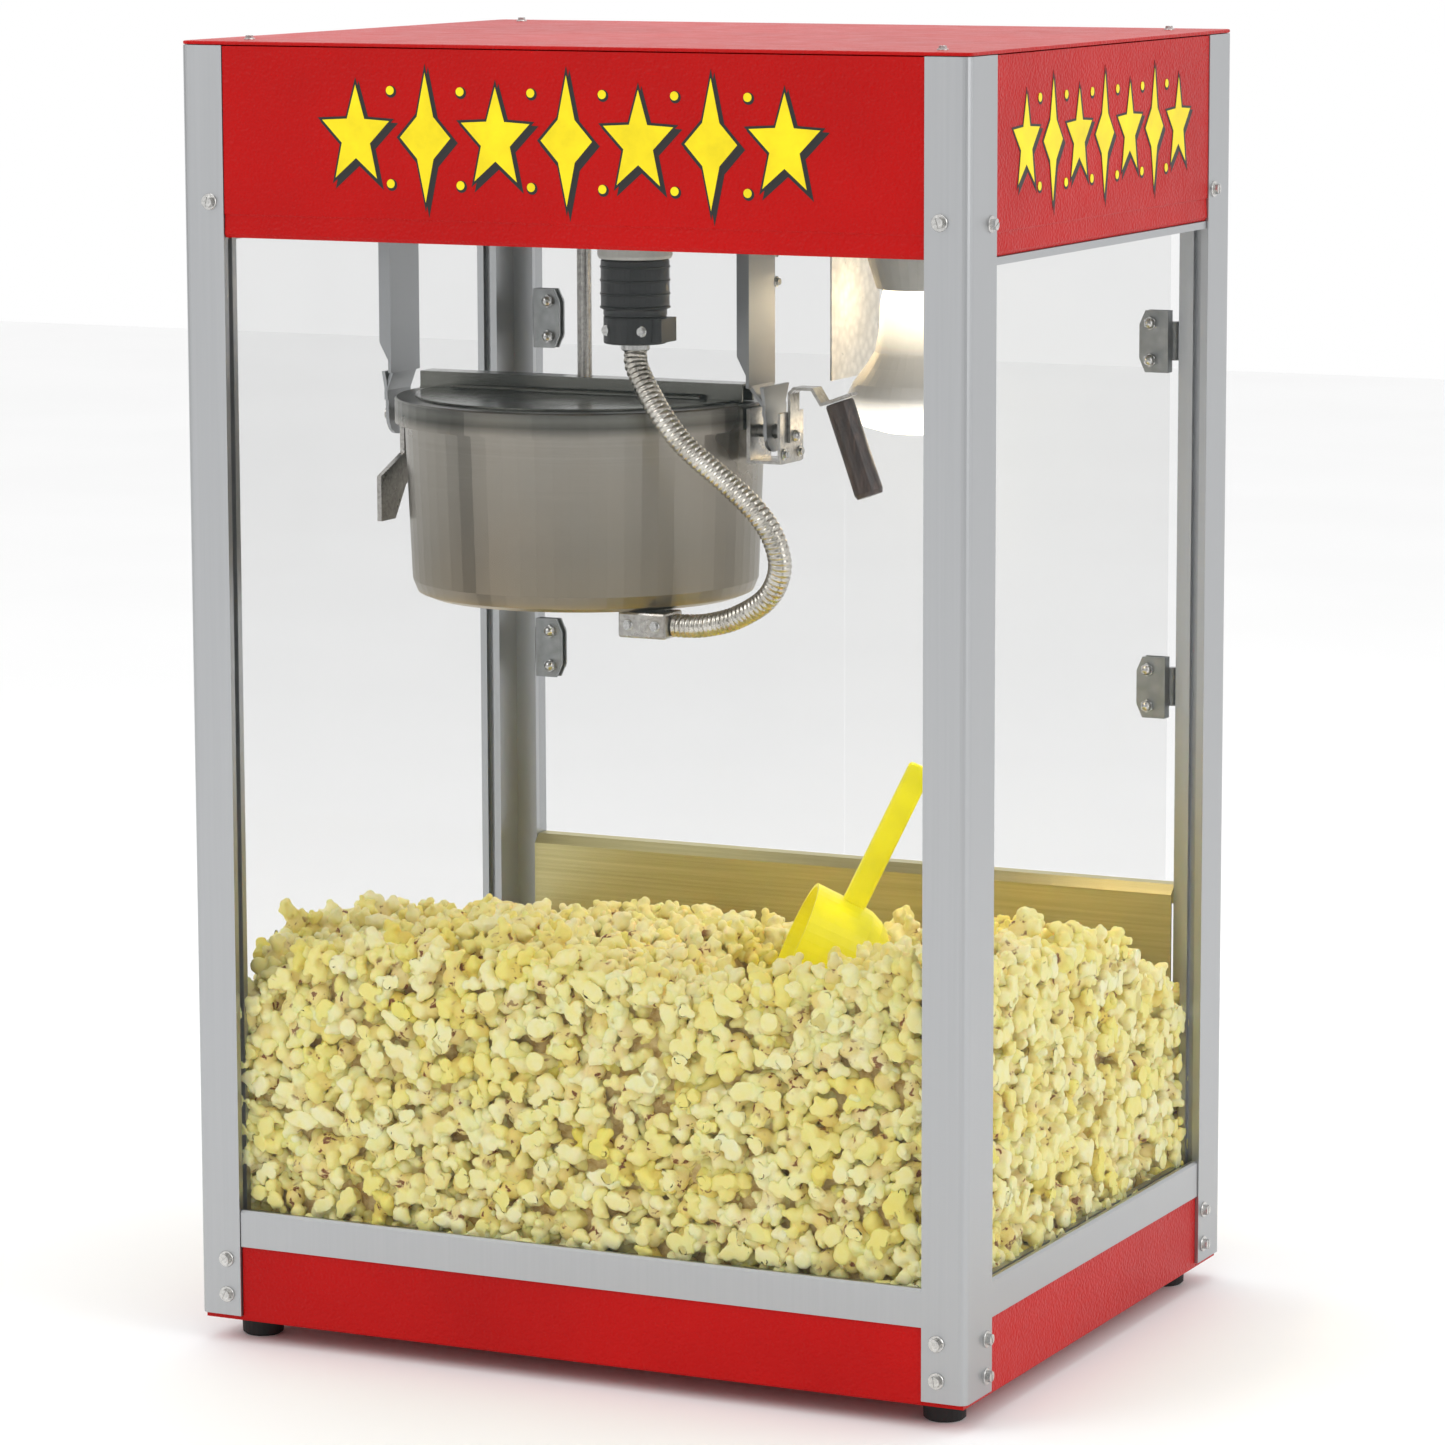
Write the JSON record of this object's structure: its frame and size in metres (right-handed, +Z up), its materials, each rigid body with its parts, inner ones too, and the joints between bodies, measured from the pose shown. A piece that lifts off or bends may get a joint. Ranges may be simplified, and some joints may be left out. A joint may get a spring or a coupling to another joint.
{
  "type": "popcorn machine",
  "caption": "Countertop popcorn machine: glazed cabinet with a tilting motor-stirred kettle, a warming lamp, rear glass doors and a crumb drawer.",
  "frame": {"origin": "on the surface it stands on, under the middle of the cabinet's four posts", "axes": "+Z up; the customer's glass and the front sign face -Y; the doors, the drawer and the switches are on the +Y side; +X is to the right seen from the front"},
  "size_m": [0.508, 0.415, 0.7885],
  "materials": {
    "painted_red": "leather-grain powder coat",
    "aluminium": "satin extrusion",
    "steel": "brushed",
    "clear_glass": "clear",
    "black_plastic": "moulded",
    "grip_plastic": "dark brown, wood-streaked",
    "foot_rubber": "matte",
    "porcelain": "unglazed",
    "bulb_glass": "frosted reflector bulb",
    "popcorn": "loose popcorn, modelled as one body",
    "scoop_plastic": "glossy"
  },
  "bodies": {
    "cabinet": {"base_pan": "painted_red", "sign_front": "painted_red", "sign_left": "painted_red", "sign_right": "painted_red", "top_cover": "painted_red", "switch_panel": "painted_red", "post_front_left": "aluminium", "post_front_right": "aluminium", "post_rear_left": "aluminium", "post_rear_right": "aluminium", "sill_front": "aluminium", "sill_left": "aluminium", "sill_right": "aluminium", "trim_left": "aluminium", "trim_right": "aluminium", "hanger_left": "aluminium", "hanger_right": "aluminium", "floor_deck": "steel", "rear_apron": "steel", "canopy_floor": "steel", "gear_motor": "steel", "lamp_shield": "steel", "conduit": "steel", "glass_front": "clear_glass", "glass_left": "clear_glass", "glass_right": "clear_glass", "kettle_plug": "black_plastic", "plug_clamp": "black_plastic", "cord_inlet": "black_plastic", "foot_front_left": "foot_rubber", "foot_front_right": "foot_rubber", "foot_rear_left": "foot_rubber", "foot_rear_right": "foot_rubber", "lamp_socket": "porcelain", "kettle_receptacle": "porcelain", "lamp_bulb": "bulb_glass", "popcorn_pile": "popcorn"},
    "kettle": {"kettle_shell": "steel", "lid_bar": "steel", "ear_left": "steel", "ear_right": "steel", "handle_strap": "steel", "handle_grip": "grip_plastic", "junction_box": "steel"},
    "stirrer": {"stir_shaft": "steel", "agitator": "steel"},
    "motor_drive": {"drive_coupling": "steel"},
    "lid_front": {"lid_front": "steel"},
    "lid_rear": {"lid_rear": "steel"},
    "door_left": {"door_glass_left": "clear_glass", "hinge_low_left": "steel", "hinge_high_left": "steel"},
    "door_right": {"door_glass_right": "clear_glass", "hinge_low_right": "steel", "hinge_high_right": "steel"},
    "drawer": {"crumb_drawer": "steel"},
    "heat_rocker": {"switch_heat": "black_plastic"},
    "motor_rocker": {"switch_motor": "black_plastic"},
    "light_rocker": {"switch_light": "black_plastic"},
    "scoop": {"scoop": "scoop_plastic"}
  },
  "joints": [
    {"name": "kettle_tilt", "type": "hinge", "parent": "cabinet", "child": "kettle", "pos_m": [-0.091, 0, 0.55], "axis": [1, 0, 0], "range_deg": [0, 90], "deforming": ["conduit"]},
    {"name": "stir_spin", "type": "hinge", "parent": "kettle", "child": "stirrer", "pos_m": [-0.091, 0, 0.4595], "axis": [0, 0, 1], "continuous": true},
    {"name": "drive_spin", "type": "hinge", "parent": "cabinet", "child": "motor_drive", "pos_m": [-0.091, 0, 0.6695], "axis": [0, 0, 1], "continuous": true},
    {"name": "lid_front_hinge", "type": "hinge", "parent": "kettle", "child": "lid_front", "pos_m": [-0.091, -0.0104, 0.5673], "axis": [-1, 0, 0], "range_deg": [0, 18]},
    {"name": "lid_rear_hinge", "type": "hinge", "parent": "kettle", "child": "lid_rear", "pos_m": [-0.091, 0.0104, 0.5673], "axis": [1, 0, 0], "range_deg": [0, 50]},
    {"name": "door_left_hinge", "type": "hinge", "parent": "cabinet", "child": "door_left", "pos_m": [-0.2222, 0.1925, 0.257], "axis": [0, 0, 1], "range_deg": [0, 110]},
    {"name": "door_right_hinge", "type": "hinge", "parent": "cabinet", "child": "door_right", "pos_m": [0.2222, 0.1925, 0.257], "axis": [0, 0, -1], "range_deg": [0, 110]},
    {"name": "drawer_slide", "type": "slide", "parent": "cabinet", "child": "drawer", "axis": [0, 1, 0], "range_m": [0, 0.25]},
    {"name": "switch_heat_rock", "type": "hinge", "parent": "cabinet", "child": "heat_rocker", "pos_m": [0.04, 0.1975, 0.741], "axis": [-1, 0, 0], "range_deg": [0, 18]},
    {"name": "switch_motor_rock", "type": "hinge", "parent": "cabinet", "child": "motor_rocker", "pos_m": [0.085, 0.1975, 0.741], "axis": [-1, 0, 0], "range_deg": [0, 18]},
    {"name": "switch_light_rock", "type": "hinge", "parent": "cabinet", "child": "light_rocker", "pos_m": [0.13, 0.1975, 0.741], "axis": [-1, 0, 0], "range_deg": [0, 18]},
    {"name": "scoop_lift", "type": "slide", "parent": "cabinet", "child": "scoop", "axis": [0, 0, 1], "range_m": [0, 0.12]}
  ],
  "couplings": [
    {"joint": "drive_spin", "follows": "stir_spin", "ratio": 1}
  ]
}
